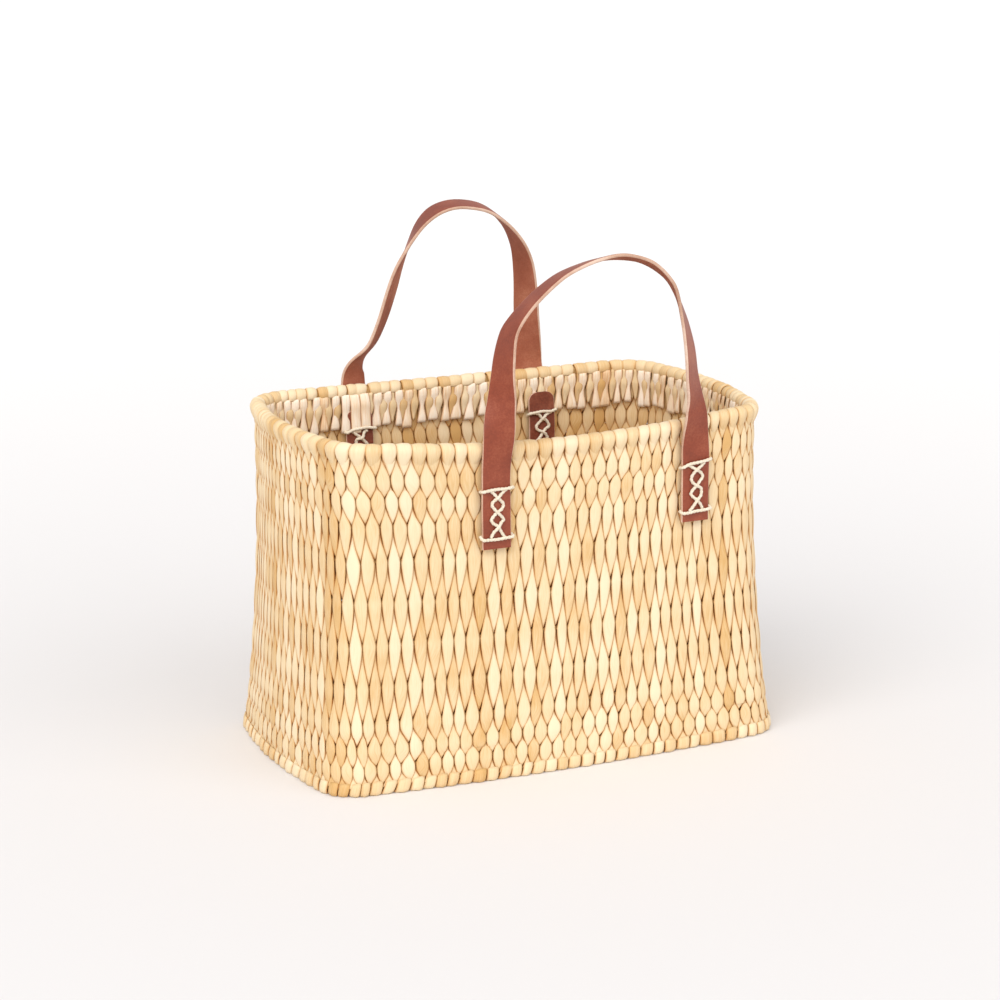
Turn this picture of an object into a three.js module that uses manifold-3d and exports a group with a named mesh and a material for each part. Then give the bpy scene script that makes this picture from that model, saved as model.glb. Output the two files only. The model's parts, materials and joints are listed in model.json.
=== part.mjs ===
// Woven market basket: a rectangular shopper woven from palm-leaf strands over hidden rib
// cords, with a wrapped rim, a woven base and two leather strap handles sewn to its long walls.
// Millimetres. X runs along the front wall, Y towards the back wall, Z up from the floor.
import * as THREE from 'three';
import { mergeVertices } from 'three/addons/utils/BufferGeometryUtils.js';
import Module from 'manifold-3d';

const wasm = await Module();
wasm.setup();

// Basket body, measured over the outer face of the weave.
const basketHeight = 250;
const baseHalfLength = 182;
const rimHalfLength = 169;
const baseHalfWidth = 100;
const rimHalfWidth = 100;
const baseCornerRadius = 28;
const rimCornerRadius = 34;
const baseEndBow = 6.5;
const rimEndBow = 8.5;
const baseSideBow = 8;
const rimSideBow = -2;
const waistDraw = 4;
const rimSetBack = 6;
const frontRimDip = 9;

// Woven wall: strands outside the ribs, rib cords, strands inside the ribs.
const strandThickness = 1.5;
const ribDiameter = 3;
const fitClearance = 0.3;
const ribHeightShares = [0.076, 0.132, 0.2, 0.306, 0.426, 0.544, 0.664, 0.764, 0.836, 0.9];

// Rim and base edge.
const rimCordDiameter = 7.4;
const rimWrapThickness = 1.5;
const rimMouthAngle = 50;
const turnDownThickness = 1.5;
const baseCordDiameter = 5.6;
const baseWrapThickness = 1.4;
const baseWrapHeight = 10;
const baseRibCount = 7;
const baseRibPitch = 22;

// Leather straps and the waxed thread that sews them on.
const strapWidth = 22;
const strapThickness = 2.8;
const strapTail = 5;
const strapRimGap = 0.5;
const threadWidth = 1.8;
const threadThickness = 1;
const threadLeg = 1.4;
const threadEdgeMargin = 1.6;
const bendAboveStitch = 3.5;
const bendSlit = 0.3;
const bendAboveRim = 6;
const patchWidth = 22;
const patchThickness = 2;
const patchAboveStitch = 15;
const patchBelowStitch = 6;

// Each handle: middle of its two legs along X, their spacing, and the rise of the arch above
// the bend at the rim. The route runs from the left leg to the right: across in half
// spacings, up in rises, and the roll of the strap about its own length, in degrees: 0 is
// flat against the wall, 90 has its grain side up.
const handles = [
  {
    name: 'front',
    side: -1,
    middle: 25,
    spacing: 158,
    rise: 114,
    route: [
      [-0.965, 0, 0], [-0.955, 0.1, 30], [-0.938, 0.19, 52], [-0.93, 0.31, 66],
      [-0.915, 0.44, 75], [-0.875, 0.585, 85], [-0.8, 0.67, 91], [-0.7, 0.745, 94],
      [-0.56, 0.83, 96], [-0.38, 0.915, 99], [-0.2, 0.965, 102], [0, 1, 104],
      [0.2, 1.01, 105], [0.42, 0.98, 98], [0.55, 0.935, 91], [0.65, 0.88, 84],
      [0.73, 0.82, 77], [0.79, 0.735, 69], [0.84, 0.635, 61], [0.885, 0.53, 54],
      [0.93, 0.38, 47], [0.955, 0.22, 41], [0.985, 0.1, 26], [1, 0, 0],
    ],
  },
  {
    name: 'back',
    side: 1,
    middle: -3,
    spacing: 152,
    rise: 124,
    route: [
      [-0.985, 0, 0], [-0.98, 0.04, 10], [-0.945, 0.075, 34], [-0.885, 0.1, 52], [-0.815, 0.14, 58],
      [-0.74, 0.2, 54], [-0.65, 0.34, 51], [-0.56, 0.5, 50], [-0.49, 0.62, 55],
      [-0.42, 0.71, 63], [-0.35, 0.79, 71], [-0.24, 0.89, 83], [-0.09, 0.965, 92],
      [0.1, 0.997, 96], [0.3, 0.988, 99], [0.46, 0.96, 99], [0.6, 0.905, 98],
      [0.73, 0.825, 93], [0.83, 0.72, 82], [0.885, 0.6, 70], [0.91, 0.44, 61],
      [0.92, 0.27, 54], [0.93, 0.1, 32], [0.935, 0, 0],
    ],
  },
];

// Fineness of the faceted surfaces.
const cornerSteps = 4;
const longSideSteps = 6;
const shortSideSteps = 3;
const wallLevels = 6;
const roundSides = 8;
const ribSides = 6;
const strapStepsPerLoop = 56;
const strapStepLength = 12;

const strawColour = 0xf1d7a4;
const strawInsideColour = 0xdcb686;
const cordColour = 0xcda86c;
const leatherColour = 0xa85c47;
const patchColour = 0xa9674f;
const threadColour = 0xefe6d2;

const group = new THREE.Group();

// ---------------------------------------------------------------- fits worked out from these

const wallThickness = 2 * strandThickness + ribDiameter + 2 * fitClearance;
const ribInset = strandThickness + fitClearance + ribDiameter / 2;
const rimRadius = rimCordDiameter / 2 + fitClearance + rimWrapThickness;
const rimCentreHeight = basketHeight - rimRadius;
const rimCentreInset = wallThickness / 2;
const rimMouth = THREE.MathUtils.degToRad(rimMouthAngle);
const wallTop = rimCentreHeight - rimRadius * Math.sin(rimMouth) - 2 * fitClearance;
const wallBottom = baseWrapHeight + fitClearance;
const ribHeights = ribHeightShares.map((share) => share * basketHeight);
const topStitchHeight = (ribHeights[8] + ribHeights[9]) / 2;
const bottomStitchHeight = (ribHeights[6] + ribHeights[7]) / 2;
const threadHole = threadLeg + 2 * fitClearance;
const turnDownBottom = topStitchHeight + threadHole / 2 + fitClearance;
const turnDownInset = wallThickness + fitClearance;
const patchInset = turnDownInset + turnDownThickness + fitClearance;
const rimOverhang = rimRadius - rimCentreInset;
const strapOffset = rimOverhang + strapRimGap;

// ---------------------------------------------------------------- the basket's outline

// One station per facet round the outline: its place on the straight-sided core rectangle
// (kx, ky from -1 to 1) and the outward direction (dx, dy) in which the corner arc swells.
function makeStations() {
  const stations = [];
  for (let quarter = 0; quarter < 4; quarter += 1) {
    const kx = quarter === 0 || quarter === 3 ? 1 : -1;
    const ky = quarter < 2 ? 1 : -1;
    for (let step = 0; step <= cornerSteps; step += 1) {
      const angle = (quarter + step / cornerSteps) * Math.PI / 2;
      stations.push({ kx, ky, dx: Math.cos(angle), dy: Math.sin(angle) });
    }
    const isLongSide = quarter % 2 === 0;
    const steps = isLongSide ? longSideSteps : shortSideSteps;
    for (let step = 1; step < steps; step += 1) {
      const share = 1 - 2 * step / steps;
      if (isLongSide) {
        stations.push({ kx: kx * share, ky, dx: 0, dy: ky });
      } else {
        stations.push({ kx, ky: ky * share, dx: kx, dy: 0 });
      }
    }
  }
  return stations;
}

const stations = makeStations();

// Half sizes, corner radius, bows and set-back of the outline at a height.
function outlineAt(height) {
  const share = height / basketHeight;
  const draw = waistDraw * 4 * share * (1 - share);
  const mix = (low, high) => low + (high - low) * share;
  return {
    halfLength: mix(baseHalfLength, rimHalfLength) - draw,
    halfWidth: mix(baseHalfWidth, rimHalfWidth) - draw,
    radius: mix(baseCornerRadius, rimCornerRadius),
    endBow: mix(baseEndBow, rimEndBow),
    sideBow: mix(baseSideBow, rimSideBow),
    setBack: rimSetBack * share,
    dip: frontRimDip * share,
  };
}

// A point of the wall at a station, a height along the wall and a depth in from its outer face.
function wallPoint(station, height, inset) {
  const outline = outlineAt(height);
  const endSwell = outline.radius - inset + outline.endBow * (1 - station.ky ** 2);
  const sideSwell = outline.radius - inset + outline.sideBow * (1 - station.kx ** 2);
  const sag = outline.dip * Math.max(0, -station.dy) * (1 - station.kx ** 2);
  return new THREE.Vector3(
    station.kx * (outline.halfLength - outline.radius) + station.dx * endSwell,
    station.ky * (outline.halfWidth - outline.radius) + station.dy * sideSwell + outline.setBack,
    height - sag,
  );
}

// The same point on a long wall, found from its place along X instead of a station.
function longWallPoint(side, x, height, inset) {
  const outline = outlineAt(height);
  const kx = x / (outline.halfLength - outline.radius);
  return wallPoint({ kx, ky: side, dx: 0, dy: side }, height, inset).setX(x);
}

// ---------------------------------------------------------------- making and naming solids

function toSolid(geometry) {
  const bare = geometry.clone();
  bare.deleteAttribute('normal');
  bare.deleteAttribute('uv');
  const merged = mergeVertices(bare, 1e-4);
  return new wasm.Manifold(new wasm.Mesh({
    numProp: 3,
    vertProperties: new Float32Array(merged.attributes.position.array),
    triVerts: new Uint32Array(merged.index.array),
  }));
}

function toGeometry(solid) {
  const mesh = solid.getMesh();
  const geometry = new THREE.BufferGeometry();
  geometry.setAttribute('position', new THREE.BufferAttribute(mesh.vertProperties, 3));
  geometry.setIndex(new THREE.BufferAttribute(mesh.triVerts, 1));
  return geometry;
}

function cut(geometry, cutters) {
  let solid = toSolid(geometry);
  for (const cutter of cutters) {
    solid = solid.subtract(toSolid(cutter));
  }
  return toGeometry(solid);
}

function moveVertices(geometry, place) {
  const position = geometry.attributes.position;
  const vertex = new THREE.Vector3();
  for (let index = 0; index < position.count; index += 1) {
    vertex.fromBufferAttribute(position, index);
    const moved = place(vertex, index);
    position.setXYZ(index, moved.x, moved.y, moved.z);
  }
  return geometry;
}

function addPart(name, geometry, colour, roughness) {
  const material = new THREE.MeshStandardMaterial({ color: colour, roughness, metalness: 0 });
  const mesh = new THREE.Mesh(geometry, material);
  mesh.name = name;
  group.add(mesh);
}

// A ring that follows the wall all round: a closed profile of [inset, height] points, listed
// anticlockwise with the inset drawn to the left and the height upward.
function wallRing(profile) {
  const points = profile.map(([inset, height]) => new THREE.Vector2(inset, height));
  points.push(points[0]);
  const ring = new THREE.LatheGeometry(points, stations.length);
  const bare = moveVertices(ring, (vertex, index) => {
    const station = stations[Math.floor(index / points.length) % stations.length];
    const point = points[index % points.length];
    return wallPoint(station, point.y, point.x);
  });
  bare.deleteAttribute('normal');
  bare.deleteAttribute('uv');
  return mergeVertices(bare, 1e-4);
}

function roundProfile(inset, height, diameter, sides) {
  const profile = [];
  for (let corner = 0; corner < sides; corner += 1) {
    const angle = (corner + 0.5) * 2 * Math.PI / sides;
    profile.push([inset - Math.cos(angle) * diameter / 2, height + Math.sin(angle) * diameter / 2]);
  }
  return profile;
}

function bandProfile(outerInset, thickness, bottom, top, levels) {
  const profile = [];
  for (let level = 0; level <= levels; level += 1) {
    profile.push([outerInset, bottom + (top - bottom) * level / levels]);
  }
  for (let level = levels; level >= 0; level -= 1) {
    profile.push([outerInset + thickness, bottom + (top - bottom) * level / levels]);
  }
  return profile;
}

// ---------------------------------------------------------------- thread holes

const legOffset = strapWidth / 2 - threadEdgeMargin;

function legPlaces() {
  const places = [];
  for (const handle of handles) {
    for (const leg of [-1, 1]) {
      for (const height of [topStitchHeight, bottomStitchHeight]) {
        for (const across of [-legOffset, legOffset]) {
          const x = handle.middle + leg * handle.spacing / 2 + across;
          places.push({ side: handle.side, x, height });
        }
      }
    }
  }
  return places;
}

// A square prod through the wall from well outside the strap to well inside the patch.
function holePin({ side, x, height }) {
  const reach = 2 * (strapOffset + strapThickness + patchInset + patchThickness);
  const face = longWallPoint(side, x, height, 0);
  const pin = new THREE.BoxGeometry(threadHole, 2 * reach, threadHole);
  pin.translate(face.x, face.y, face.z);
  return pin;
}

const holePins = legPlaces().map(holePin);

// ---------------------------------------------------------------- woven wall and its ribs

const outerRuns = wallRing(bandProfile(0, strandThickness, wallBottom, wallTop, wallLevels));
addPart('wall_strands_outer_runs', cut(outerRuns, holePins), strawColour, 0.6);

for (const [index, height] of ribHeights.entries()) {
  const name = `wall_rib_cord_${String(index + 1).padStart(2, '0')}`;
  addPart(name, wallRing(roundProfile(ribInset, height, ribDiameter, ribSides)), cordColour, 0.8);
}

const innerInset = wallThickness - strandThickness;
const innerRuns = wallRing(
  bandProfile(innerInset, strandThickness, wallBottom, wallTop, wallLevels),
);
addPart('wall_strands_inner_runs', cut(innerRuns, holePins), strawInsideColour, 0.7);

// ---------------------------------------------------------------- rim

const rimCord = roundProfile(rimCentreInset, rimCentreHeight, rimCordDiameter, roundSides);
addPart('rim_cord', wallRing(rimCord), cordColour, 0.8);

// The strands bent over the rim cord: a rounded cap, open below where the wall comes up.
function rimWrapProfile() {
  const steps = 8;
  const profile = [];
  const innerRadius = rimRadius - rimWrapThickness;
  const sweep = Math.PI + 2 * rimMouth;
  for (let step = 0; step <= steps; step += 1) {
    const angle = -rimMouth + sweep * step / steps;
    profile.push([
      rimCentreInset - rimRadius * Math.cos(angle), rimCentreHeight + rimRadius * Math.sin(angle),
    ]);
  }
  for (let step = steps; step >= 0; step -= 1) {
    const angle = -rimMouth + sweep * step / steps;
    const reach = innerRadius / Math.cos(sweep / steps / 2);
    profile.push([
      rimCentreInset - reach * Math.cos(angle), rimCentreHeight + reach * Math.sin(angle),
    ]);
  }
  return profile;
}

addPart('rim_wrapping', wallRing(rimWrapProfile()), strawColour, 0.6);

const turnDown = bandProfile(turnDownInset, turnDownThickness, turnDownBottom, wallTop, 1);
addPart('turned_down_strand_ends', wallRing(turnDown), 0xe6c9ae, 0.8);

// ---------------------------------------------------------------- base

// The border strands pass under the cord that edges the base: a trough open above.
const troughWidth = baseCordDiameter + 2 * fitClearance + 2 * baseWrapThickness;
const troughProfile = [
  [1.5 * baseWrapThickness, 0],
  [0, 1.5 * baseWrapThickness],
  [0, baseWrapHeight],
  [baseWrapThickness, baseWrapHeight],
  [baseWrapThickness, baseWrapThickness],
  [troughWidth - baseWrapThickness, baseWrapThickness],
  [troughWidth - baseWrapThickness, baseWrapHeight - strandThickness],
  [troughWidth, baseWrapHeight - strandThickness],
  [troughWidth, 0],
];
addPart('base_edge_wrapping', wallRing(troughProfile), strawColour, 0.6);

const baseCordHeight = baseWrapThickness + fitClearance + baseCordDiameter / 2;
const baseCord = roundProfile(troughWidth / 2, baseCordHeight, baseCordDiameter, roundSides);
addPart('base_edge_cord', wallRing(baseCord), cordColour, 0.8);

function basePlate(bottom) {
  const inset = troughWidth + fitClearance;
  const outline = stations.map((station) => {
    const corner = wallPoint(station, baseWrapHeight, inset);
    return new THREE.Vector2(corner.x, corner.y);
  });
  const plate = new THREE.ExtrudeGeometry(new THREE.Shape(outline), {
    depth: strandThickness,
    bevelEnabled: false,
  });
  plate.translate(0, 0, bottom);
  return plate;
}

const baseRibHeight = strandThickness + fitClearance + ribDiameter / 2;
addPart('base_strands_under_runs', basePlate(0), strawColour, 0.7);
addPart('base_strands_upper_runs', basePlate(wallThickness - strandThickness), strawColour, 0.7);

for (let index = 0; index < baseRibCount; index += 1) {
  const y = (index - (baseRibCount - 1) / 2) * baseRibPitch;
  const length = 2 * (baseHalfLength - baseCornerRadius);
  const cord = new THREE.CylinderGeometry(ribDiameter / 2, ribDiameter / 2, length, roundSides);
  cord.rotateZ(Math.PI / 2);
  cord.translate(0, y, baseRibHeight);
  addPart(`base_rib_cord_${index + 1}`, cord, cordColour, 0.8);
}

// ---------------------------------------------------------------- strap parts

// A flat strip of leather along a list of frames: middle point, direction across its width
// and direction through its thickness.
function strapStrip(frames, width, thickness) {
  const box = new THREE.BoxGeometry(width, thickness, frames.length - 1, 1, 1, frames.length - 1);
  return moveVertices(box, (vertex) => {
    const frame = frames[Math.round(vertex.z + (frames.length - 1) / 2)];
    return frame.middle.clone()
      .addScaledVector(frame.across, vertex.x)
      .addScaledVector(frame.through, vertex.y);
  });
}

function heightSteps(bottom, top) {
  const count = Math.max(1, Math.ceil((top - bottom) / strapStepLength));
  return Array.from({ length: count + 1 }, (_, step) => bottom + (top - bottom) * step / count);
}

// Frames of a strip lying on a long wall. Its lower end is at x = bottomX, its upper at topX.
function wallFrames(side, bottomX, topX, bottom, top, inset) {
  return heightSteps(bottom, top).map((z) => {
    const x = bottomX + (topX - bottomX) * (z - bottom) / (top - bottom);
    const level = Math.min(z, rimCentreHeight);
    const middle = longWallPoint(side, x, level, inset).setZ(z);
    return { middle, across: new THREE.Vector3(1, 0, 0), through: new THREE.Vector3(0, 1, 0) };
  });
}

const strapInset = -strapOffset - strapThickness / 2;
const patchMiddleInset = patchInset + patchThickness / 2;

function stitchZ(side, x, height) {
  return longWallPoint(side, x, height, 0).z;
}

// Both legs of a handle bend at one level, so the bends share one axis.
function handleLevels(handle) {
  const legXs = [-1, 1].map((leg) => handle.middle + leg * handle.spacing / 2);
  const stitchTops = legXs.map((x) => stitchZ(handle.side, x, topStitchHeight));
  const rimTops = legXs.map((x) => stitchZ(handle.side, x, basketHeight));
  return {
    peel: Math.max(...stitchTops) + bendAboveStitch,
    fold: Math.max(...rimTops) + bendAboveRim,
  };
}

// The thread: bars across the strap at top and bottom with a chain of crosses between them,
// outside on the leather and inside on the patch, joined by legs through the wall.
function stitchSolid(handle, legX) {
  const half = legOffset + threadLeg / 2;
  const drop = topStitchHeight - bottomStitchHeight;
  const crossing = [[-0.55, 0], [0.38, 0.33], [-0.36, 0.67], [0.46, 1]];
  const bars = [[[-half, 0], [half, 0]], [[-half, 1], [half, 1]]];
  for (let index = 0; index < crossing.length - 1; index += 1) {
    const [fromAcross, fromDown] = crossing[index];
    const [toAcross, toDown] = crossing[index + 1];
    for (const mirror of [-1, 1]) {
      bars.push([[mirror * fromAcross * half, fromDown], [mirror * toAcross * half, toDown]]);
    }
  }
  const layers = [
    -strapOffset - strapThickness - fitClearance - threadThickness / 2,
    patchInset + patchThickness + fitClearance + threadThickness / 2,
  ];
  const pieces = [];
  for (const inset of layers) {
    for (const [[fromAcross, fromDown], [toAcross, toDown]] of bars) {
      const rise = (fromDown - toDown) * drop;
      const run = toAcross - fromAcross;
      const length = Math.hypot(run, rise);
      const bar = new THREE.BoxGeometry(length, threadThickness, threadWidth);
      bar.rotateY(-Math.atan2(rise, run));
      bar.translate((fromAcross + toAcross) / 2, inset, -(fromDown + toDown) / 2 * drop);
      pieces.push(bar);
    }
  }
  for (const down of [0, drop]) {
    for (const across of [-legOffset, legOffset]) {
      const leg = new THREE.BoxGeometry(threadLeg, layers[1] - layers[0], threadLeg);
      leg.translate(across, (layers[0] + layers[1]) / 2, -down);
      pieces.push(leg);
    }
  }
  let solid = toSolid(pieces[0]);
  for (const piece of pieces.slice(1)) {
    solid = solid.add(toSolid(piece));
  }
  return moveVertices(toGeometry(solid), (vertex) => {
    const height = topStitchHeight + vertex.z;
    return longWallPoint(handle.side, legX - handle.side * vertex.x, height, vertex.y);
  });
}

// Frames along the free loop, from the bend at the left leg over the arch to the right.
function loopFrames(handle, foldLevel) {
  const strapY = longWallPoint(handle.side, handle.middle, rimCentreHeight, strapInset).y;
  const points = handle.route.map(([across, up]) => new THREE.Vector3(
    handle.middle + across * handle.spacing / 2, strapY, foldLevel + bendSlit / 2 + up * handle.rise,
  ));
  const turns = handle.route.map(([, , turn]) => new THREE.Vector3(turn, 0, 0));
  const route = new THREE.CatmullRomCurve3(points);
  const turnCurve = new THREE.CatmullRomCurve3(turns);
  const frames = [];
  for (let step = 0; step <= strapStepsPerLoop; step += 1) {
    const share = step / strapStepsPerLoop;
    const turn = THREE.MathUtils.degToRad(turnCurve.getPoint(share).x);
    const isEnd = step === 0 || step === strapStepsPerLoop;
    const along = isEnd
      ? new THREE.Vector3(0, 0, step === 0 ? 1 : -1)
      : route.getTangent(share);
    const level = new THREE.Vector3(-handle.side * along.z, 0, handle.side * along.x);
    const across = level.multiplyScalar(Math.cos(turn)).add(new THREE.Vector3(0, -Math.sin(turn), 0));
    across.addScaledVector(along, -across.dot(along)).normalize();
    const through = new THREE.Vector3().crossVectors(along, across);
    frames.push({ middle: route.getPoint(share), across, through });
  }
  return frames;
}

for (const handle of handles) {
  const { peel, fold } = handleLevels(handle);
  const loop = loopFrames(handle, fold);
  const ends = [
    { word: 'left', x: handle.middle - handle.spacing / 2, rimX: loop[0].middle.x },
    { word: 'right', x: handle.middle + handle.spacing / 2, rimX: loop.at(-1).middle.x },
  ];
  for (const end of ends) {
    const topZ = stitchZ(handle.side, end.x, topStitchHeight);
    const bottomZ = stitchZ(handle.side, end.x, bottomStitchHeight);
    const tab = wallFrames(
      handle.side, end.x, end.x, bottomZ - strapTail, peel - bendSlit / 2, strapInset,
    );
    const riser = wallFrames(
      handle.side, end.x, end.rimX, peel + bendSlit / 2, fold - bendSlit / 2, strapInset,
    );
    const patch = wallFrames(
      handle.side, end.x, end.x, bottomZ - patchBelowStitch, topZ + patchAboveStitch,
      patchMiddleInset,
    );
    const label = `${handle.name}_${end.word}`;
    const tabGeometry = strapStrip(tab, strapWidth, strapThickness);
    const patchGeometry = strapStrip(patch, patchWidth, patchThickness);
    addPart(`${label}_strap_tab`, cut(tabGeometry, holePins), leatherColour, 0.5);
    addPart(`${label}_strap_riser`, strapStrip(riser, strapWidth, strapThickness), leatherColour, 0.5);
    addPart(`${label}_inner_patch`, cut(patchGeometry, holePins), patchColour, 0.6);
    addPart(`${label}_stitching`, stitchSolid(handle, end.x), threadColour, 0.8);
  }
  addPart(`${handle.name}_handle_loop`, strapStrip(loop, strapWidth, strapThickness), leatherColour, 0.5);
}

export default group;
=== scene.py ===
import json
import math

import bmesh
import bpy
import numpy as np
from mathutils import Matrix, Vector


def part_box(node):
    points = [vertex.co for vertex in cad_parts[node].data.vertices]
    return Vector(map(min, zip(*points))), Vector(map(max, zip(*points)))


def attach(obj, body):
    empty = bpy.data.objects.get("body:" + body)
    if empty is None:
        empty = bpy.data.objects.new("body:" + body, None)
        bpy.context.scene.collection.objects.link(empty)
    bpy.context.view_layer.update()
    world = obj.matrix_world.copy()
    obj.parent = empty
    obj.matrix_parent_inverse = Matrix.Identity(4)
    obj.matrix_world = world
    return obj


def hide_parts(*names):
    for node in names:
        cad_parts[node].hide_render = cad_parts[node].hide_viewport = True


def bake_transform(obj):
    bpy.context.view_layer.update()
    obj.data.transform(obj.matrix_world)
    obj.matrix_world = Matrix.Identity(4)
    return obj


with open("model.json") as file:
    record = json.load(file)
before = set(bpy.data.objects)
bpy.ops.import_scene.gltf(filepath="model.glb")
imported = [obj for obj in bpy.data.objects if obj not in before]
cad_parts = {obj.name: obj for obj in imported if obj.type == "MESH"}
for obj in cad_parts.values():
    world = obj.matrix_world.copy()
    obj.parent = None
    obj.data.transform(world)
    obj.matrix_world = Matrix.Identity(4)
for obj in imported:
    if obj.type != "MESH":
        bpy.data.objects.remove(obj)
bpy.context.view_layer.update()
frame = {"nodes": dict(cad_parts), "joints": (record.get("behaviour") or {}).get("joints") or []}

MM = 0.001


# ---------------------------------------------------------------- the place it stands in
# A plain pale floor and a white room. The basket is looked at from its front left, a little
# above its rim. A wide soft lamp stands at the left of the front, a fainter one to the right.

def linear(hex_colour):
    """An sRGB hex colour as linear RGBA."""
    parts = [int(hex_colour[place:place + 2], 16) / 255 for place in (1, 3, 5)]
    return (*(c / 12.92 if c <= 0.04045 else ((c + 0.055) / 1.055) ** 2.4 for c in parts), 1)


def add_node(material, kind, settings=None, links=None, **sockets):
    """One shader node: its settings, its inputs' values by name, and what feeds its inputs.

    A link may also be a plain value, for an input that shares its name with another.
    """
    node = material.node_tree.nodes.new("ShaderNode" + kind)
    for name, value in (settings or {}).items():
        setattr(node, name, value)
    for name, value in sockets.items():
        node.inputs[name.replace("_", " ")].default_value = value
    for place, source in (links or {}).items():
        if isinstance(source, bpy.types.NodeSocket):
            material.node_tree.links.new(source, node.inputs[place])
        else:
            node.inputs[place].default_value = source
    return node


def new_material(name):
    """A material without nodes."""
    material = bpy.data.materials.new(name)
    material.use_nodes = True
    material.node_tree.nodes.clear()
    return material


def finish_material(material, shader):
    """Joins a shader to the material's output, and gives the material back."""
    output = material.node_tree.nodes.new("ShaderNodeOutputMaterial")
    material.node_tree.links.new(shader.outputs[0], output.inputs["Surface"])
    return material


FLOOR_SIZE = 60.0
FLOOR_SHADE_FADE_START = 0.4
FLOOR_SHADE_FADE_END = 2.2
CAMERA_AZIMUTH = math.radians(-25)
CAMERA_ELEVATION = math.radians(14.1)
CAMERA_DISTANCE = 2.094
CAMERA_LENS = 102.2
CAMERA_TARGET = (-0.0048, 0.0022, 0.175)

floor_material = new_material("matt_white_paper")
floor_place = add_node(floor_material, "TexCoord")
floor_reach = add_node(floor_material, "VectorMath", {"operation": "LENGTH"},
                       links={0: floor_place.outputs["Object"]})
# The sheet is painted a little greyer round the basket and brighter away from it: painted shade
# round the basket.
floor_shade_fade = add_node(floor_material, "MapRange", links={"Value": floor_reach.outputs["Value"]},
                      From_Min=FLOOR_SHADE_FADE_START, From_Max=FLOOR_SHADE_FADE_END)
floor_shade_tone = add_node(floor_material, "ValToRGB", links={"Fac": floor_shade_fade.outputs[0]})
floor_shade_tone.color_ramp.elements[0].color = linear("#E5E3E4")
floor_shade_tone.color_ramp.elements[1].color = linear("#F3F3F4")
finish_material(floor_material, add_node(
    floor_material, "BsdfPrincipled", Roughness=0.9,
    links={"Base Color": floor_shade_tone.outputs["Color"]}))
floor_mesh = bpy.data.meshes.new("floor")
floor_shape = bmesh.new()
bmesh.ops.create_grid(floor_shape, x_segments=1, y_segments=1, size=FLOOR_SIZE / 2)
floor_shape.to_mesh(floor_mesh)
floor_shape.free()
floor_mesh.materials.append(floor_material)
floor = bpy.data.objects.new("floor", floor_mesh)
bpy.context.scene.collection.objects.link(floor)

camera_data = bpy.data.cameras.new("camera")
camera_data.lens = CAMERA_LENS
camera = bpy.data.objects.new("camera", camera_data)
back = (
    math.sin(CAMERA_AZIMUTH) * math.cos(CAMERA_ELEVATION),
    -math.cos(CAMERA_AZIMUTH) * math.cos(CAMERA_ELEVATION),
    math.sin(CAMERA_ELEVATION),
)
camera.location = [t + b * CAMERA_DISTANCE for t, b in zip(CAMERA_TARGET, back)]
camera.rotation_euler = (math.pi / 2 - CAMERA_ELEVATION, 0, CAMERA_AZIMUTH)
bpy.context.scene.collection.objects.link(camera)
bpy.context.scene.camera = camera


def add_sun(name, azimuth, elevation, softness, strength, colour):
    """A large distant lamp; azimuth 0 shines from the front, -90 from the left."""
    data = bpy.data.lights.new(name, "SUN")
    data.angle = math.radians(softness)
    data.energy = strength
    data.color = linear(colour)[:3]
    lamp = bpy.data.objects.new(name, data)
    lamp.rotation_euler = (math.radians(90 - elevation), 0, math.radians(azimuth))
    bpy.context.scene.collection.objects.link(lamp)


add_sun("front_left_window", -50, 43, 55, 1.9, "#FFFCF7")
add_sun("front_right_fill", 26, 30, 60, 0.85, "#FFFEFC")

world = bpy.data.worlds.new("white_room")
world.use_nodes = True
world.node_tree.nodes["Background"].inputs["Color"].default_value = linear("#FFFFFF")
world.node_tree.nodes["Background"].inputs["Strength"].default_value = 0.67
bpy.context.scene.world = world
bpy.context.scene.view_settings.view_transform = "Standard"


# ---------------------------------------------------------------- cords inside the weave
# The hoops that the strands are woven round, the thick rim cord and the base edge cord are
# two-ply palm fibre, spun by hand. They stay as the CAD gives them and show only in gaps.

def palm_cord_material():
    """Spun palm fibre: dull brown, with coarse plies lying round the hoop."""
    material = new_material("spun_palm_fibre")
    place = add_node(material, "TexCoord")
    plies = add_node(material, "TexNoise", Scale=420.0, Detail=4.0, Roughness=0.6,
                     links={"Vector": place.outputs["Object"]})
    tone = add_node(material, "ValToRGB", links={"Fac": plies.outputs["Fac"]})
    tone.color_ramp.elements[0].color = linear("#A8793C")
    tone.color_ramp.elements[1].color = linear("#DDB578")
    relief = add_node(material, "Bump", Strength=0.6, Distance=0.4 * MM,
                      links={"Height": plies.outputs["Fac"]})
    return finish_material(material, add_node(
        material, "BsdfPrincipled", Roughness=0.85,
        links={"Base Color": tone.outputs["Color"], "Normal": relief.outputs["Normal"]}))


palm_cord = palm_cord_material()
for name in [n for n in frame["nodes"] if "cord" in n]:
    node = frame["nodes"][name]
    node.data.materials.clear()
    node.data.materials.append(palm_cord)


# ---------------------------------------------------------------- wall strands
# Dried palm-leaf strands, each folded to a flat spindle. Every strand climbs the wall, going
# outside one hoop and inside the next, and its neighbours do the opposite, so that each hoop
# shows as a row of pointed lozenges. Nothing holds them but the tension of the weave.

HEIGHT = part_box("rim_wrapping")[1][2]
FOOT_HALF_LENGTH = 182 * MM
RIM_HALF_LENGTH = 169 * MM
HALF_WIDTH = 100 * MM
FOOT_CORNER = 28 * MM
RIM_CORNER = 34 * MM
FOOT_END_BOW = 6.5 * MM
RIM_END_BOW = 8.5 * MM
FOOT_SIDE_BOW = 8 * MM
RIM_SIDE_BOW = -2 * MM
WAIST_DRAW = 4 * MM
RIM_SET_BACK = 6 * MM
FRONT_RIM_DIP = 9 * MM
WALL_THICKNESS = 6.6 * MM

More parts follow.
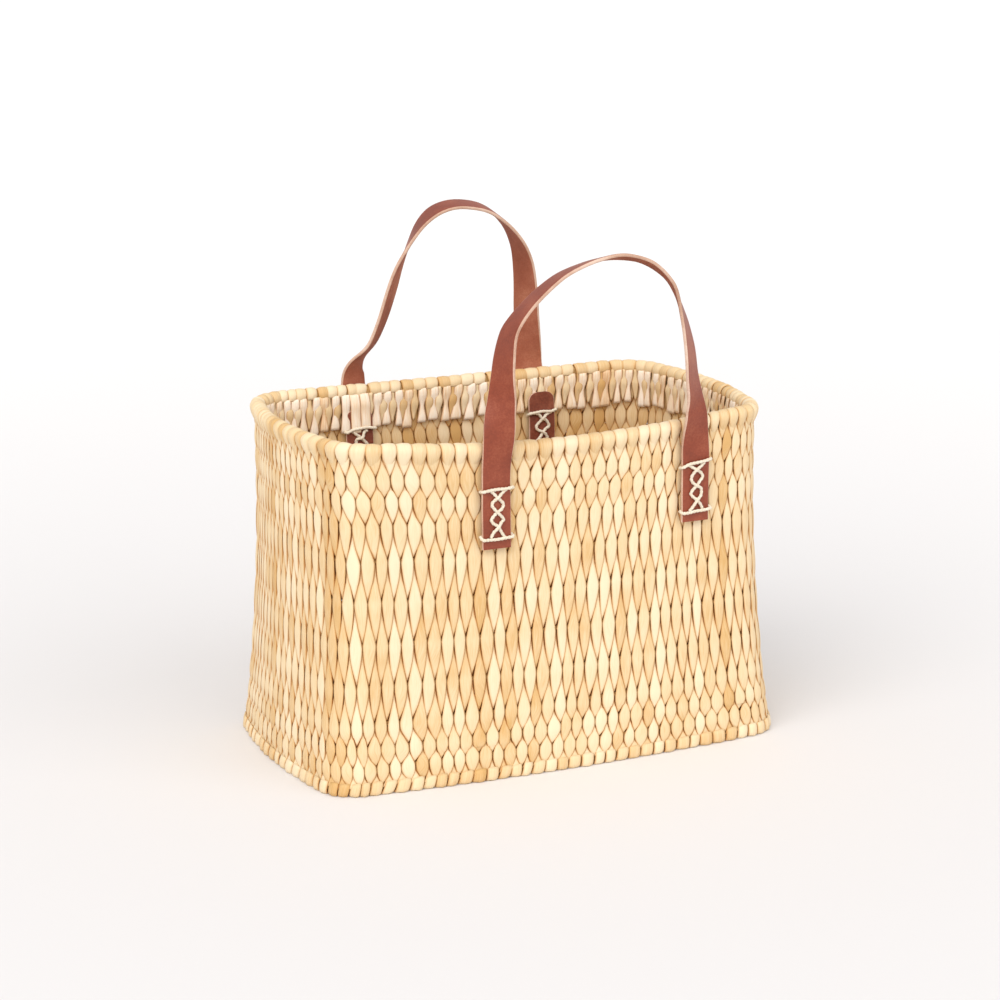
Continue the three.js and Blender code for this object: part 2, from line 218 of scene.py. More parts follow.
HOOP_COUNT = 10
HOOP_RADIUS = 1.5 * MM
BASE_CORD_LEVEL = 4.5 * MM
RIM_CORD_LEVEL = 244.5 * MM
hoop_levels = [BASE_CORD_LEVEL]
hoop_levels += [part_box(f"wall_rib_cord_{number:02d}")[1][2] - HOOP_RADIUS
                for number in range(1, HOOP_COUNT + 1)]
hoop_levels += [RIM_CORD_LEVEL]
TOP_ROW = len(hoop_levels) - 1

STRAND_COUNT = 220
# How deep a strand's outer face lies, from the hoop it passes outside to the hoop that it
# passes inside, in ninths of the way.
FACE_DEPTHS = np.array((0.05, 0.08, 0.18, 0.36, 0.6, 0.86, 1.12, 1.42, 2.0, 4.6)) * MM
FACE_CROWN = 0.42 * MM
FACE_ROUNDNESS = 0.4
# A strand's lower tip lies over the row below it, and its upper tip lies under the row above.
LAP_WIDTH = 0.11
LAP_DEPTH = 0.3 * MM
# Where two hoops are close together the lozenges are fatter, with blunter tips.
WIDE_ROW = 28 * MM
NARROW_ROW = 16 * MM
FATNESS = 0.3

# The outline as the CAD draws it: a rectangle with corner arcs, its sides bowed.
quarter_turn = np.linspace(0, math.pi / 2, 40)
side_share = np.linspace(1, -1, 160)[1:-1]
core_x, core_y, heading = [], [], []
for quarter in range(4):
    kx = 1 if quarter in (0, 3) else -1
    ky = 1 if quarter < 2 else -1
    core_x += [kx] * len(quarter_turn)
    core_y += [ky] * len(quarter_turn)
    heading += list(quarter * math.pi / 2 + quarter_turn)
    along_x = quarter % 2 == 0
    core_x += list(kx * side_share) if along_x else [kx] * len(side_share)
    core_y += [ky] * len(side_share) if along_x else list(ky * side_share)
    heading += [(quarter + 1) * math.pi / 2] * len(side_share)
core_x, core_y, heading = (np.array(v, float) for v in (core_x, core_y, heading))


def outline_size(share):
    """Half length, half width and corner radius of the wall at a share of its height."""
    draw = WAIST_DRAW * 4 * share * (1 - share)
    half_length = FOOT_HALF_LENGTH + (RIM_HALF_LENGTH - FOOT_HALF_LENGTH) * share - draw
    return half_length, HALF_WIDTH - draw, FOOT_CORNER + (RIM_CORNER - FOOT_CORNER) * share


def outline_point(kx, ky, angle, height, inset):
    """A point of the wall: its place on the core rectangle, its outward angle and its depth."""
    share = height / HEIGHT
    half_length, half_width, corner = outline_size(share)
    end_bow = FOOT_END_BOW + (RIM_END_BOW - FOOT_END_BOW) * share
    side_bow = FOOT_SIDE_BOW + (RIM_SIDE_BOW - FOOT_SIDE_BOW) * share
    dx, dy = np.cos(angle), np.sin(angle)
    dip = FRONT_RIM_DIP * share * np.maximum(0, -dy) * (1 - kx ** 2)
    return np.stack([
        kx * (half_length - corner) + dx * (corner - inset + end_bow * (1 - ky ** 2)),
        ky * (half_width - corner) + dy * (corner - inset + side_bow * (1 - kx ** 2))
        + RIM_SET_BACK * share,
        height - dip,
    ], axis=-1)


middle_ring = outline_point(core_x, core_y, heading, HEIGHT / 2, 0)
steps = np.linalg.norm(np.diff(middle_ring, axis=0, append=middle_ring[:1]), axis=1)
PERIMETER = float(steps.sum())
round_share = np.concatenate([[0], np.cumsum(steps)]) / PERIMETER
core_x, core_y = np.append(core_x, core_x[0]), np.append(core_y, core_y[0])
heading = np.append(heading, 2 * math.pi)
PITCH = PERIMETER / STRAND_COUNT


def wall_point(share, height, inset):
    """A point of the wall from its share of the way round, its height and its depth."""
    share = np.mod(share, 1)
    kx, ky, angle = (np.interp(share, round_share, v) for v in (core_x, core_y, heading))
    return outline_point(kx, ky, angle, height, inset)


def spindle_template(around, along):
    """A closed tube of quads standing on Z from 0 to 1, its section a circle of radius 1."""
    shape = bmesh.new()
    bmesh.ops.create_cone(shape, cap_ends=True, segments=around, radius1=1, radius2=1, depth=1)
    upright = [e for e in shape.edges if abs(e.verts[0].co.z - e.verts[1].co.z) > 0.5]
    bmesh.ops.subdivide_edges(shape, edges=upright, cuts=along - 1, use_grid_fill=True)
    bmesh.ops.translate(shape, verts=shape.verts, vec=(0, 0, 0.5))
    mesh = bpy.data.meshes.new("template")
    shape.to_mesh(mesh)
    shape.free()
    return mesh


def mesh_points(mesh):
    """A mesh's points as an array, one row for each."""
    flat = np.empty(len(mesh.vertices) * 3)
    mesh.vertices.foreach_get("co", flat)
    return flat.reshape(-1, 3)


def make_strands(name, template, numbers, place, material):
    """One piece of many strands: the template once for each number, every point set by place.

    Its "tint" is how pale the leaf is, with some painted shade; its "edge" is how far its edge is,
    in mm.
    """
    shape = bmesh.new()
    for _ in numbers:
        shape.from_mesh(template)
    mesh = bpy.data.meshes.new(name)
    shape.to_mesh(mesh)
    shape.free()
    number = np.repeat(np.array(numbers), len(template.vertices))
    point, across, along, tint, edge = place(number, *mesh_points(mesh).T)
    mesh.vertices.foreach_set("co", point.ravel())
    # A place that mirrors the template leaves its faces pointing in, so they are turned round.
    shape = bmesh.new()
    shape.from_mesh(mesh)
    if shape.calc_volume(signed=True) < 0:
        mesh.flip_normals()
    shape.free()
    corner = np.empty(len(mesh.loops), dtype=int)
    mesh.loops.foreach_get("vertex_index", corner)
    uv_map = mesh.uv_layers.new(name="strand")
    uv = np.stack([across[corner] / 2 + 0.5, along[corner]], axis=-1)
    uv_map.data.foreach_set("uv", uv.astype(np.float32).ravel())
    for label, value in (("tint", tint), ("edge", edge)):
        attribute = mesh.attributes.new(label, "FLOAT", "POINT")
        attribute.data.foreach_set("value", value.astype(np.float32))
    mesh.polygons.foreach_set("use_smooth", np.ones(len(mesh.polygons), dtype=bool))
    mesh.materials.append(material)
    mesh.update()
    piece = bpy.data.objects.new(name, mesh)
    bpy.context.scene.collection.objects.link(piece)
    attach(piece, "basket")
    return piece


# Fibres run the length of the strand: 14 across it, about 0.7 mm apart, and 65 to a metre, so
# 15 mm long. Real ones are finer; these are as coarse as they need to be to show.
FIBRE_SCALE = (14, 65, 1)
FIBRE_SHIFT = (97, 0, 0)


def leaf_material(name, pale, straw, golden, crease_and_shade, coarse=1.0):
    """Dried palm leaf: long fine fibres, a satin skin, and brown creased edges, partly painted
    shade.
    """
    material = new_material(name)
    uv = add_node(material, "UVMap", {"uv_map": "strand"})
    tint = add_node(material, "Attribute", {"attribute_name": "tint"})
    # The tint also moves the fibres along, so that no two strands are streaked alike.
    stretch = add_node(material, "Mapping", links={"Vector": uv.outputs["UV"]}, Scale=FIBRE_SCALE)
    shift = add_node(material, "CombineXYZ", links={"X": tint.outputs["Fac"]})
    move = add_node(material, "VectorMath", {"operation": "MULTIPLY_ADD"},
                    links={0: shift.outputs[0], 1: FIBRE_SHIFT, 2: stretch.outputs[0]})
    fibre = add_node(material, "TexNoise", Scale=1.0, Detail=3.0, Roughness=0.6,
                     links={"Vector": move.outputs[0]})
    place = add_node(material, "TexCoord")
    cloud = add_node(material, "TexNoise", Scale=38.0, Detail=2.0,
                     links={"Vector": place.outputs["Object"]})
    level = add_node(material, "Math", {"operation": "MULTIPLY_ADD"},
                     links={0: cloud.outputs["Fac"], 1: 0.5, 2: tint.outputs["Fac"]})
    streak = add_node(material, "Math", {"operation": "MULTIPLY_ADD"},
                      links={0: fibre.outputs["Fac"], 1: 0.5 * coarse, 2: level.outputs[0]})
    tone = add_node(material, "ValToRGB", links={"Fac": streak.outputs[0]})
    tone.color_ramp.elements[0].position = 0.38
    tone.color_ramp.elements[0].color = linear(golden)
    tone.color_ramp.elements[1].position = 1.0
    tone.color_ramp.elements[1].color = linear(pale)
    tone.color_ramp.elements.new(0.7).color = linear(straw)
    # Both edges of a strand are creased under its neighbours: a thin brown line, about half a
    # millimetre wide, partly the leaf's own darker edge and partly painted shade in the groove,
    # and a wider painted golden shadow beside it.
    edge = add_node(material, "Attribute", {"attribute_name": "edge"})
    rough_edge = add_node(material, "Math", {"operation": "MULTIPLY_ADD"},
                          links={0: fibre.outputs["Fac"], 1: -0.6, 2: edge.outputs["Fac"]})
    # Painted golden shadow beside the edge line.
    painted_shadow_mask = add_node(material, "MapRange", {"interpolation_type": "SMOOTHSTEP"},
                         links={"Value": rough_edge.outputs[0]},
                         From_Min=0.0, From_Max=1.3, To_Min=0.4, To_Max=0.0)
    # The brown edge line: the leaf's darker edge and painted shade in the groove.
    crease_and_shade_mask = add_node(material, "MapRange", {"interpolation_type": "SMOOTHSTEP"},
                           links={"Value": rough_edge.outputs[0]},
                           From_Min=-0.25, From_Max=0.3, To_Min=0.66, To_Max=0.0)
    painted_shadow = add_node(material, "Mix", {"data_type": "RGBA"}, links={
        "Factor": painted_shadow_mask.outputs[0], 6: tone.outputs["Color"], 7: linear(golden)})
    shade = add_node(material, "Mix", {"data_type": "RGBA"}, links={
        "Factor": crease_and_shade_mask.outputs[0], 6: painted_shadow.outputs[2], 7: linear(crease_and_shade)})
    relief = add_node(material, "Bump", Strength=0.35, Distance=0.25 * MM * coarse,
                      links={"Height": fibre.outputs["Fac"]})
    return finish_material(material, add_node(
        material, "BsdfPrincipled", Roughness=0.52, IOR=1.45, Specular_IOR_Level=0.35,
        links={"Base Color": shade.outputs[2], "Normal": relief.outputs["Normal"]}))


# The last colour is the brown of the creased edges, partly painted shade.
palm_leaf = leaf_material("dried_palm_leaf", "#F0DCBA", "#E6CBA0", "#D4A96C", "#C17E34")

# What differs by chance from strand to strand, and from lozenge to lozenge of a strand.
chance = np.random.RandomState(27)
table_shape = (STRAND_COUNT, len(hoop_levels) + 2)
strand_shift = chance.uniform(-0.2, 0.2, STRAND_COUNT)
strand_tint = np.clip(chance.normal(0.27, 0.13, STRAND_COUNT), -0.05, 0.55)
lozenge_tilt = chance.uniform(-0.25, 0.25, table_shape) * MM
lozenge_slide = chance.uniform(-0.2, 0.2, table_shape)
lozenge_tint = chance.uniform(-0.07, 0.07, table_shape)
lozenge_gap = 1 - 0.12 * chance.uniform(0, 1, table_shape) ** 4
lozenge_rise = chance.uniform(-0.9, 0.9, table_shape) * MM
row_phase = chance.uniform(0, 2 * math.pi, len(hoop_levels))
ROW_WAVE = 0.6 * MM
ROW_WAVES_ROUND = 5
# How far a strand moves round the wall on its way up, in strands, and where it moves most.
STRAND_DRIFT = 5.0
DRIFT_PHASE = 0.23
# How unevenly the strands are spread round the wall, and where they are closest.
SPREAD = 0.07
SPREAD_CENTRE = 0.6
# A wall strand stops this far short of the base and rim cords, in rows.
STRAND_TRIM = 1 / 9
SQUARENESS = 0.45


def ease(value, low, high):
    """0 below low, 1 above high, and smooth between."""
    share = np.clip((value - low) / (high - low), 0, 1)
    return share * share * (3 - 2 * share)


def squared(side, power=SQUARENESS):
    """Moves the points of a round section out towards its two edges, so that it is flatter."""
    return np.sign(side) * np.abs(side) ** power


def along_rows(table, number, row):
    """A value set at each hoop, eased from one hoop to the next along the strand."""
    number = np.mod(number, STRAND_COUNT)
    low = np.clip(np.floor(row).astype(int), 0, table.shape[1] - 2)
    share = ease(row - low, 0, 1)
    return table[number, low] * (1 - share) + table[number, low + 1] * share


def row_height(row, share):
    """The height of a row of the weave; each row wanders a little on its way round."""
    height = np.interp(row, np.arange(TOP_ROW + 1), hoop_levels)
    near = np.clip(np.round(row).astype(int), 0, TOP_ROW)
    room = np.clip(np.minimum(row, TOP_ROW - row), 0, 1)
    wave = np.sin(2 * math.pi * share * ROW_WAVES_ROUND + row_phase[near])
    return height + ROW_WAVE * wave * room


def strand_middle(number, row):
    """Where a strand runs, counted in strands round the wall."""
    shift = strand_shift[np.mod(number, STRAND_COUNT)]
    # On the way up the strands drift to one side here and to the other side there.
    drift = STRAND_DRIFT * np.sin(2 * math.pi * (2 * number / STRAND_COUNT - DRIFT_PHASE))
    slide = along_rows(lozenge_slide, number, row)
    return number + 0.5 + shift + slide + drift * (row / TOP_ROW - 0.5)


def wall_share(count):
    """A strand count as a share of the way round; the strands are not quite evenly spread."""
    share = count / STRAND_COUNT
    return share + SPREAD * np.sin(4 * math.pi * (share - SPREAD_CENTRE)) / (4 * math.pi)


# The inner faces of the wall strands are painted darker: painted shade inside the basket.
INSIDE_PAINTED_SHADE = 0.2
# What is between the two faces of a strand shows only in the gaps, and gets the brown of its
# creased edge there: painted shade.
GAP_SHADE_EDGE = -0.4


def wall_strand(number, side, thick, along):
    """A strand's point: side and thick place it on its section, along runs foot to rim.

    Its outer face is broad where its inner face is narrow, and its neighbours' are the other
    way about, so the strands fill the wall from edge to edge.
    """
    row = STRAND_TRIM + along * (TOP_ROW - 2 * STRAND_TRIM)
    # How far it is above or below the hoop that it passes outside, 1 at the next hoop.
    above = row - number - 2 * np.round((row - number) / 2)
    away = np.abs(above)
    outer, inner = thick > 0.1, thick < -0.1
    # The outermost points but one of its twelve-sided section lie at the edge as well.
    across = np.clip(squared(side) / squared(math.cos(math.pi / 6)), -1, 1)
    # The same, for the face that this point is on: the inner one is full at the next hoop.
    facing = np.where(outer, above, np.where(inner, above - np.sign(above), 0))
    own = np.where(outer | inner, 1 - np.abs(facing), 0.5)
    hump = 4 * own * (1 - own) * np.sign(facing)
    gap = np.diff(hoop_levels)[np.clip(np.floor(row).astype(int), 0, TOP_ROW - 1)]
    fat = 1 + FATNESS * np.clip((WIDE_ROW - gap) / (WIDE_ROW - NARROW_ROW), 0, 1)
    full = np.clip((own - LAP_WIDTH * hump - 0.5) * fat + 0.5, 0, 1)
    width = (1 - FACE_ROUNDNESS) * full + FACE_ROUNDNESS * (1 - np.cos(math.pi * full)) / 2
    width = width * along_rows(lozenge_gap, number, row)
    way = np.where(side > 0, 1, -1)
    middle = (strand_middle(number - 1, row) + strand_middle(number + 1, row)) / 2
    beside = (strand_middle(number, row) + strand_middle(number + 2 * way, row)) / 2
    share = wall_share(middle + np.abs(across) * (beside - middle) * width)
    ninths = np.linspace(0, 1, len(FACE_DEPTHS))
    crown = FACE_CROWN * np.abs(across) ** 2.5
    dip = crown * own + LAP_DEPTH * hump
    outer_face = np.interp(away, ninths, FACE_DEPTHS) + dip
    inner_face = WALL_THICKNESS - np.interp(1 - away, ninths, FACE_DEPTHS) - dip
    lean = along_rows(lozenge_tilt, number, row) * across * own
    between = (outer_face + inner_face) / 2
    inset = np.where(outer, outer_face - lean, np.where(inner, inner_face + lean, between))
    rise = along_rows(lozenge_rise, number, row) * np.clip(row * (TOP_ROW - row), 0, 1)
    height = row_height(row, share) + rise
    # The inner face loses some tint: painted shade.
    tint = strand_tint[number] + along_rows(lozenge_tint, number, row) - INSIDE_PAINTED_SHADE * inner
    edge = np.where(outer | inner, (1 - np.abs(across)) * width * PITCH / MM, GAP_SHADE_EDGE)
    return wall_point(share, height, inset), side, height, tint, edge


AROUND_STRAND = 12
ALONG_STRAND = 97
WALL_PARTS = 4
wall_template = spindle_template(AROUND_STRAND, ALONG_STRAND)
for part in range(WALL_PARTS):
    numbers = [n for n in range(STRAND_COUNT) if n * WALL_PARTS // STRAND_COUNT == part]
    make_strands(
        f"wall_strands_{part + 1}", wall_template, numbers, wall_strand, palm_leaf)
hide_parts("wall_strands_outer_runs", "wall_strands_inner_runs")


# ---------------------------------------------------------------- rim wrapping
# Every second strand is bent over the thick rim cord from outside to inside, pulled down
# a little to the right, so the rim is a smooth roll of slanting segments a lozenge wide.

RIM_ROLL = 5.5 * MM
RIM_CENTRE_INSET = WALL_THICKNESS / 2
RIM_SLANT = 0.12
# The path of a strand over the rim cord: depth and height of its middle, and its width.
RIM_PATH = np.array([
    (4.2, 228.0, 0.2), (2.9, 231.8, 0.42), (1.15, 236.0, 0.63), (-0.6, 240.3, 0.88),
    (-1.45, 244.5, 1.0), (-0.81, 246.9, 1.02), (0.93, 248.6, 1.03), (3.3, 249.25, 1.04),
    (5.67, 248.6, 1.04), (7.4, 246.9, 1.03), (8.05, 244.5, 1.0), (7.6, 242.3, 0.95),
]) * (MM, MM, 1)
wrap_tilt = chance.uniform(-0.55, 0.55, STRAND_COUNT) * MM
wrap_slant = chance.uniform(-0.16, 0.16, STRAND_COUNT)
wrap_puff = chance.uniform(-0.1, 0.35, STRAND_COUNT) * MM
WRAP_HALF_THICKNESS = 0.95 * MM
WRAP_EDGE_SINK = 0.45 * MM


def smooth_route(points, share):
    """A curve through given points, from share 0 at the first to share 1 at the last."""
    points = np.array(points, float)
    place = np.asarray(share) * (len(points) - 1)
    start = np.clip(np.floor(place).astype(int), 0, len(points) - 2)
    t = (place - start)[..., None]
    padded = np.concatenate([2 * points[:1] - points[1:2], points, 2 * points[-1:] - points[-2:-1]])
    p0, p1, p2, p3 = (padded[start + k] for k in range(4))
    return 0.5 * (2 * p1 + (p2 - p0) * t + (2 * p0 - 5 * p1 + 4 * p2 - p3) * t ** 2
                  + (3 * p1 - p0 - 3 * p2 + p3) * t ** 3)


def middle_and_reach(number, side, row):
    """A strand's middle at a row, and how far a point lies to its side, in strands.

    Its edge is halfway to the next strand that runs outside there, two strands on.
    """
    row = np.full(number.shape, row)
    middle = strand_middle(number, row)
    way = np.where(side > 0, 1, -1)
    return middle, side * np.abs(strand_middle(number + 2 * way, row) - middle) / 2


def rim_wrap(number, side, thick, along):
    """A strand bent over the rim cord, from its pointed foot outside to below the rim inside."""
    side = squared(side)
    edge = np.abs(side)
    path = smooth_route(RIM_PATH, along)
    way = smooth_route(RIM_PATH, np.clip(along + 0.01, 0, 1)) - smooth_route(
        RIM_PATH, np.clip(along - 0.01, 0, 1))
    way = way[..., :2] / np.linalg.norm(way[..., :2], axis=-1, keepdims=True)
    lift = np.sign(thick) * (1 - edge ** 4) * WRAP_HALF_THICKNESS - edge ** 4 * WRAP_EDGE_SINK
    lift = lift + wrap_tilt[number] * side + wrap_puff[number] * np.sin(along * math.pi)
    middle, reach = middle_and_reach(number, side, float(TOP_ROW))
    slant = (along - 0.4) * (RIM_SLANT + wrap_slant[number]) * 4 * np.clip(along * 3 - 0.6, 0, 1)
    share = wall_share(middle + reach * path[..., 2] * 1.03 + slant)
    inset = path[..., 0] - way[..., 1] * lift
    height = path[..., 1] + way[..., 0] * lift
    run = height + along * 20 * MM
    tint = strand_tint[number] + wrap_slant[number]
    edge_mm = (1 - edge) * path[..., 2] * PITCH / MM - 0.1
    return wall_point(share, height, inset), side, run, tint, edge_mm


rim_template = spindle_template(12, 24)
outside_at_rim = [n for n in range(STRAND_COUNT) if (TOP_ROW - n) % 2 == 0]
rim_piece = make_strands("rim_strands", rim_template, outside_at_rim, rim_wrap, palm_leaf)
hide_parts("rim_wrapping")


# ---------------------------------------------------------------- turned-down ends
# Inside, the strands from the rim are turned down over the wall, woven once, and cut off
# square about 33 mm below the rim. Their pale, pinkish pith side shows.

ENDS_TOP = 243.5 * MM
ENDS_BOTTOM = 216.5 * MM
ENDS_INSET = 7.9 * MM
# Its last colour is the brown of the creased edges, partly painted shade.
palm_pith = leaf_material("palm_leaf_pith_side", "#FBEDDB", "#F0D5B2", "#D69C5C", "#A8642A",
                          coarse=2.5)
patch_low, patch_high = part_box("back_left_inner_patch")
LAPPED_MIDDLE = (patch_low[0] + patch_high[0]) / 2
LAPPED_HALF = (patch_high[0] - patch_low[0]) / 2
LAPPED_RISE = 3.2 * MM
end_length = chance.uniform(-2.4, 2.0, STRAND_COUNT) * MM
end_flare = chance.uniform(0.8, 1.15, STRAND_COUNT)
end_lean = chance.uniform(-0.35, 0.35, STRAND_COUNT)
# Width of an end, and of the golden strand beside it, from the rim down to the cut.
END_WIDTHS = ((0, 0.7), (0.12, 0.82), (0.3, 0.8), (0.46, 0.44), (0.6, 0.5), (0.85, 0.82), (1, 0.92))
TUCK_WIDTHS = ((0, 0.45), (0.2, 0.42), (0.45, 0.74), (0.6, 0.66), (0.85, 0.36), (1, 0.22))
END_SLANT = 0.45
END_HALF_THICKNESS = 0.6 * MM


def swelling(along, middle, spread):
    """A smooth swelling of 1 at a place along a strand."""
    return np.exp(-((along - middle) / spread) ** 2)


def turned_end(number, side, thick, along):
    """A strand end: a pad under the rim, pinched where it is woven, flaring to its square cut."""
    side = squared(side)
    width = np.interp(along, *np.array(END_WIDTHS).T)
    width = width * np.where(along > 0.45, end_flare[number], 1)
    middle = strand_middle(number, np.full(number.shape, float(TOP_ROW)))
    # Over the back left patch three of them lie side by side on top of the leather.
    root = wall_point(wall_share(middle), ENDS_TOP, 0)
    beside = np.abs(root[..., 0] - LAPPED_MIDDLE) / LAPPED_HALF
    over = (root[..., 1] > 0) * np.clip(1.5 - beside, 0, 1)
    width = width + over * np.clip(0.95 - width, 0, 1)
    lean = (along - 0.3) * (END_SLANT + end_lean[number]) * (1 - over)
    share = wall_share(middle + side * width + lean)
    lift = (swelling(along, 0.18, 0.14) + swelling(along, 0.85, 0.2)) * 0.9 * MM
    skin = np.sign(thick) * (1 - np.abs(side) ** 4) * END_HALF_THICKNESS
    inset = ENDS_INSET + lift + skin + wrap_tilt[number] * side
    inset = inset + over * LAPPED_RISE * np.clip(along * 3, 0, 1)
    height = ENDS_TOP + (ENDS_BOTTOM + end_length[number] - ENDS_TOP) * along
    tint = strand_tint[number] - 0.28
    edge = (1 - np.abs(side)) * width * PITCH / MM
    return wall_point(share, height, inset), side, height, tint, edge


def tucked_end(number, side, thick, along):
    """The golden strand between two ends: a lozenge that shows where they are pinched."""
    side = squared(side)
    width = np.interp(along, *np.array(TUCK_WIDTHS).T)
    middle = strand_middle(number, np.full(number.shape, float(TOP_ROW)))
    share = wall_share(middle + side * width + (along - 0.3) * (END_SLANT + end_lean[number]))
    lift = swelling(along, 0.45, 0.2) * 1.1 * MM
    skin = np.sign(thick) * (1 - np.abs(side) ** 4) * END_HALF_THICKNESS
    inset = ENDS_INSET - 0.2 * MM + lift + skin
    height = ENDS_TOP + (ENDS_BOTTOM + 3 * MM - ENDS_TOP) * along
    edge = (1 - np.abs(side)) * width * PITCH / MM
    return wall_point(share, height, inset), side, height, strand_tint[number] - 0.08, edge


end_template = spindle_template(8, 12)
inside_at_rim = [n for n in range(STRAND_COUNT) if n not in outside_at_rim]
ends_piece = make_strands("turned_down_ends", end_template, outside_at_rim, turned_end, palm_pith)
make_strands("tucked_strands", end_template, inside_at_rim, tucked_end, palm_leaf)
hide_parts("turned_down_strand_ends")


# ---------------------------------------------------------------- base border and base
# At the foot every second strand is folded square round the base edge cord. The base is the
# same weave laid flat: strands run front to back, over and under seven straight cords.

border_tint = chance.uniform(-0.12, 0.08, STRAND_COUNT)
border_puff = chance.uniform(0, 1.0, STRAND_COUNT)
BORDER_START = math.radians(-42)
BORDER_TURN = math.radians(235)
BORDER_RADIUS = 4.3 * MM
BORDER_HALF_THICKNESS = 0.4 * MM
BORDER_INSET = 5.1 * MM
BORDER_LEVEL = 5.2 * MM
FLOOR_GAP = 0.1 * MM


def base_border(number, side, thick, along):
    """A strand folded round the foot, from the wall outside to the base's under face."""
    turn = along * BORDER_TURN + BORDER_START
    across = squared(side, 0.5)
    puff = (1 - np.abs(across) ** 3) * (1.3 + border_puff[number]) * MM
    radius = BORDER_RADIUS + np.sign(thick) * BORDER_HALF_THICKNESS + puff
    radius = radius + wrap_tilt[number] * across
    square = 1 / np.maximum(np.abs(np.cos(turn)), np.abs(np.sin(turn))) ** 0.55
    middle, reach = middle_and_reach(number, across, 0.0)
    slant = (0.3 - along) * (0.9 + 5 * border_tint[number])
    share = wall_share(middle + reach * 0.95 + slant)
    inset = BORDER_INSET - radius * square * np.cos(turn)
    height = np.maximum(BORDER_LEVEL - radius * square * np.sin(turn), FLOOR_GAP)
    run = along * 16 * MM
    edge = (1 - np.abs(across)) * PITCH / MM - 0.1
    tint = strand_tint[number] + border_tint[number]
    return wall_point(share, height, inset), side, run, tint, edge


border_piece = make_strands("base_border_strands", spindle_template(10, 12),
                            list(range(0, STRAND_COUNT, 2)), base_border, palm_leaf)
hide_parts("base_edge_wrapping")

mat_low, mat_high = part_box("base_strands_under_runs")
MAT_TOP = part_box("base_strands_upper_runs")[1][2]
MAT_RIB_PITCH = 22 * MM
MAT_STRANDS = 2 * round((mat_high[0] - mat_low[0]) / PITCH / 2)
MAT_EDGE_INSET = 9.3 * MM
MAT_SWING = 1.9 * MM
MAT_HALF_THICKNESS = 1.1 * MM
mat_tint = np.clip(chance.normal(0.2, 0.16, MAT_STRANDS), -0.1, 0.6)


def mat_reach(x):
    """How far the base runs to the front and back at a place along its length."""
    ring = outline_point(core_x, core_y, heading, 5 * MM, MAT_EDGE_INSET)
    front = ring[ring[:, 1] < 0]
    front = front[np.argsort(front[:, 0])]
    return -np.interp(x, front[:, 0], front[:, 1])


def base_strand(number, side, thick, along):
    """A strand of the base, over and under the straight cords, front to back."""
    pitch = (mat_high[0] - mat_low[0]) / MAT_STRANDS
    x = mat_low[0] + (number + 0.5) * pitch
    reach = mat_reach(x) - 0.5 * MM
    y = (2 * along - 1) * reach
    row = y / MAT_RIB_PITCH
    out = np.cos(math.pi * (row - number))
    fullness = 0.5 * np.abs(out) + 0.5 * (1 - 2 * np.arccos(np.clip(np.abs(out), 0, 1)) / math.pi)
    width = pitch * (1 + fullness)
    bulge = np.where(thick > 0, 0.62 + 0.38 * out, 0.62 - 0.38 * out) * MAT_HALF_THICKNESS
    z = MAT_TOP / 2 + MAT_SWING * out + thick * bulge
    place = np.stack([x + side * width / 2, y, np.maximum(z, 0.15 * MM)], axis=-1)
    edge = (1 - np.abs(side)) * width / 2 / MM
    return place, side, y, mat_tint[number], edge


mat_piece = make_strands("base_strands", spindle_template(8, 48), list(range(MAT_STRANDS)),
                         base_strand, palm_leaf)
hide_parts("base_strands_under_runs", "base_strands_upper_runs")


# ---------------------------------------------------------------- leather straps
# Each handle is one strap of vegetable-tanned leather, smooth reddish-brown grain outside,
# paler suede-like flesh inside, with raw pale edges. It lies flat where it is sewn to the
# wall, passes outside the rim and turns a quarter round so that its grain is up on the arch.

STRAP_WIDTH = 22 * MM
STRAP_THICKNESS = 2.8 * MM
STRAP_INSET = -(RIM_ROLL - RIM_CENTRE_INSET) - 0.5 * MM - STRAP_THICKNESS / 2
# Each route: across in half spacings, up in rises, and the strap's roll in degrees about its
# own length. 0 lies flat against the wall, 90 has the grain side up.
HANDLES = [
    {
        "name": "front", "side": -1, "middle": 25 * MM, "spacing": 158 * MM, "rise": 114 * MM,
        "route": [
            (-0.965, 0, 20), (-0.955, 0.1, 39), (-0.938, 0.19, 52), (-0.93, 0.31, 66),
            (-0.915, 0.44, 75), (-0.875, 0.585, 85), (-0.8, 0.67, 91), (-0.7, 0.745, 94),
            (-0.56, 0.83, 96), (-0.38, 0.915, 99), (-0.2, 0.965, 102), (0, 1, 104),
            (0.2, 1.01, 105), (0.42, 0.98, 98), (0.55, 0.935, 91), (0.65, 0.88, 84),
            (0.73, 0.82, 77), (0.79, 0.735, 69), (0.84, 0.635, 61), (0.885, 0.53, 54),
            (0.93, 0.38, 47), (0.955, 0.22, 43), (0.985, 0.1, 37), (1, 0, 22),
        ],
    },
    {
        "name": "back", "side": 1, "middle": -3 * MM, "spacing": 152 * MM, "rise": 124 * MM,
        "route": [
            (-0.985, 0, 22), (-0.97, 0.035, 33), (-0.93, 0.075, 47), (-0.875, 0.115, 59),
            (-0.81, 0.155, 59), (-0.745, 0.21, 54), (-0.65, 0.34, 51), (-0.56, 0.5, 50),
            (-0.49, 0.62, 55), (-0.42, 0.71, 63), (-0.35, 0.79, 71), (-0.24, 0.89, 83),
            (-0.09, 0.965, 92), (0.1, 0.997, 96), (0.3, 0.988, 99), (0.46, 0.96, 99),
            (0.6, 0.905, 98), (0.73, 0.825, 93), (0.83, 0.72, 82), (0.885, 0.6, 70),
            (0.91, 0.44, 61), (0.92, 0.27, 55), (0.93, 0.1, 43), (0.935, 0, 24),
        ],
    },
]


